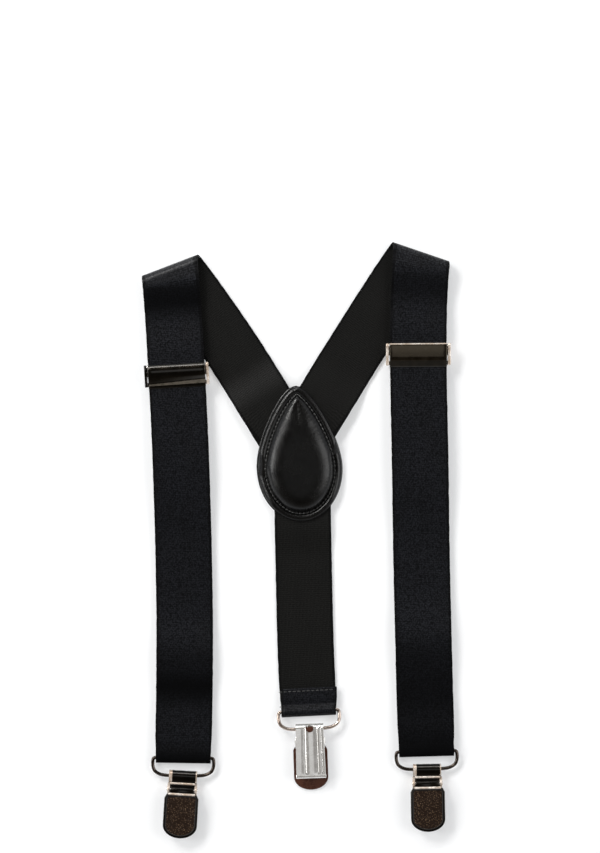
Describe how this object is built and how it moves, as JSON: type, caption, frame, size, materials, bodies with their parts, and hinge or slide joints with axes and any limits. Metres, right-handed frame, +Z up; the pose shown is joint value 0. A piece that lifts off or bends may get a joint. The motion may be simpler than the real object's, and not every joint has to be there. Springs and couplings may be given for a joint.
{
  "type": "suspenders",
  "caption": "Y-back elastic dress suspenders with a padded leather teardrop at the back, flip-lock adjusters and lever clips on wire loops, laid flat.",
  "frame": {"origin": "middle of the object's footprint, on the surface it lies on", "axes": "+X to the right as laid face up, +Y from the clips towards the shoulder folds, +Z up off the surface"},
  "size_m": [0.1388, 0.2612, 0.0076],
  "materials": {
    "webbing": "black elastic webbing, matt, fine ribbed weave",
    "leather": "black smooth leather, satin",
    "padding": "black felt padding",
    "nickel": "bright nickel plate",
    "dark_nickel": "dark nickel plate, fine pebbled tongues"
  },
  "bodies": {
    "root": {"patch_front_leather": "leather", "patch_filler": "padding", "patch_back_leather": "leather", "left_back_strap": "webbing", "left_front_strap": "webbing", "right_back_strap": "webbing", "right_front_strap": "webbing", "centre_strap": "webbing"},
    "left_adjuster": {"left_adjuster_frame": "nickel", "left_adjuster_pin": "nickel", "left_strap_end": "webbing"},
    "left_cover": {"left_adjuster_cover": "dark_nickel"},
    "left_clip_end": {"left_strap_turn": "webbing", "left_return_strap": "webbing"},
    "right_adjuster": {"right_adjuster_frame": "nickel", "right_adjuster_pin": "nickel", "right_strap_end": "webbing"},
    "right_cover": {"right_adjuster_cover": "dark_nickel"},
    "right_clip_end": {"right_strap_turn": "webbing", "right_return_strap": "webbing"},
    "left_loop": {"left_wire_loop": "nickel"},
    "left_clip": {"left_clip_body": "nickel", "left_clip_pin": "nickel"},
    "left_lever": {"left_clip_lever": "dark_nickel"},
    "left_jaw": {"left_clip_jaw": "nickel"},
    "right_loop": {"right_wire_loop": "nickel"},
    "right_clip": {"right_clip_body": "nickel", "right_clip_pin": "nickel"},
    "right_lever": {"right_clip_lever": "dark_nickel"},
    "right_jaw": {"right_clip_jaw": "nickel"},
    "centre_loop": {"centre_wire_loop": "nickel"},
    "centre_clip": {"centre_clip_body": "nickel", "centre_clip_pin": "nickel"},
    "centre_lever": {"centre_clip_lever": "dark_nickel"},
    "centre_jaw": {"centre_clip_jaw": "nickel"}
  },
  "joints": [
    {"name": "left_adjuster_slide", "type": "slide", "parent": "root", "child": "left_adjuster", "axis": [0.0564, -0.9984, 0], "range_m": [-0.004, 0.03], "deforming": ["left_front_strap", "left_return_strap"]},
    {"name": "left_cover_flip", "type": "hinge", "parent": "left_adjuster", "child": "left_cover", "pos_m": [-0.05433, 0.07617, 0.0066], "axis": [-0.9984, -0.0564, 0], "range_deg": [0, 100]},
    {"name": "left_clip_end_slide", "type": "slide", "parent": "root", "child": "left_clip_end", "axis": [-0.0147, -0.9999, 0], "range_m": [-0.002, 0.015]},
    {"name": "right_adjuster_slide", "type": "slide", "parent": "root", "child": "right_adjuster", "axis": [0.0069, -1, 0], "range_m": [-0.004, 0.03], "deforming": ["right_front_strap", "right_return_strap"]},
    {"name": "right_cover_flip", "type": "hinge", "parent": "right_adjuster", "child": "right_cover", "pos_m": [0.0516, 0.08519, 0.0066], "axis": [-1, -0.0069, 0], "range_deg": [0, 100]},
    {"name": "right_clip_end_slide", "type": "slide", "parent": "root", "child": "right_clip_end", "axis": [0.0291, -0.9996, 0], "range_m": [-0.002, 0.015]},
    {"name": "left_loop_swing", "type": "hinge", "parent": "left_clip_end", "child": "left_loop", "pos_m": [-0.05135, -0.09571, 0.0023], "axis": [0.9999, -0.0147, 0], "range_deg": [-90, 90]},
    {"name": "left_clip_swing", "type": "hinge", "parent": "left_loop", "child": "left_clip", "pos_m": [-0.05147, -0.10351, 0.0023], "axis": [0.9982, -0.0593, 0], "range_deg": [-90, 90]},
    {"name": "left_lever_lift", "type": "hinge", "parent": "left_clip", "child": "left_lever", "pos_m": [-0.05182, -0.10949, 0.0042], "axis": [-0.9982, 0.0593, 0], "range_deg": [0, 100]},
    {"name": "left_jaw_open", "type": "hinge", "parent": "left_clip", "child": "left_jaw", "pos_m": [-0.05174, -0.1081, 0.00235], "axis": [-0.9982, 0.0593, 0], "range_deg": [0, 15]},
    {"name": "right_loop_swing", "type": "hinge", "parent": "right_clip_end", "child": "right_loop", "pos_m": [0.05535, -0.09281, 0.0023], "axis": [0.9996, 0.0291, 0], "range_deg": [-90, 90]},
    {"name": "right_clip_swing", "type": "hinge", "parent": "right_loop", "child": "right_clip", "pos_m": [0.05557, -0.1006, 0.0023], "axis": [0.9998, 0.0175, 0], "range_deg": [-90, 90]},
    {"name": "right_lever_lift", "type": "hinge", "parent": "right_clip", "child": "right_lever", "pos_m": [0.05568, -0.1066, 0.0042], "axis": [-0.9998, -0.0175, 0], "range_deg": [0, 100]},
    {"name": "right_jaw_open", "type": "hinge", "parent": "right_clip", "child": "right_jaw", "pos_m": [0.05565, -0.1052, 0.00235], "axis": [-0.9998, -0.0175, 0], "range_deg": [0, 15]},
    {"name": "centre_loop_swing", "type": "hinge", "parent": "root", "child": "centre_loop", "pos_m": [0.00365, -0.07511, 0.0023], "axis": [-0.9988, -0.0494, 0], "range_deg": [-90, 75]},
    {"name": "centre_clip_swing", "type": "hinge", "parent": "centre_loop", "child": "centre_clip", "pos_m": [0.00403, -0.08275, 0.0038], "axis": [-0.9994, -0.0349, 0], "range_deg": [-90, 90]},
    {"name": "centre_lever_lift", "type": "hinge", "parent": "centre_clip", "child": "centre_lever", "pos_m": [0.00423, -0.08875, 0.0019], "axis": [0.9994, 0.0349, 0], "range_deg": [0, 100]},
    {"name": "centre_jaw_open", "type": "hinge", "parent": "centre_clip", "child": "centre_jaw", "pos_m": [0.00419, -0.08735, 0.00375], "axis": [0.9994, 0.0349, 0], "range_deg": [0, 15]}
  ],
  "couplings": [
    {"joint": "left_clip_end_slide", "follows": "left_adjuster_slide", "ratio": 0.5},
    {"joint": "right_clip_end_slide", "follows": "right_adjuster_slide", "ratio": 0.5},
    {"joint": "left_jaw_open", "follows": "left_lever_lift", "ratio": 0.15},
    {"joint": "right_jaw_open", "follows": "right_lever_lift", "ratio": 0.15},
    {"joint": "centre_jaw_open", "follows": "centre_lever_lift", "ratio": 0.15}
  ]
}
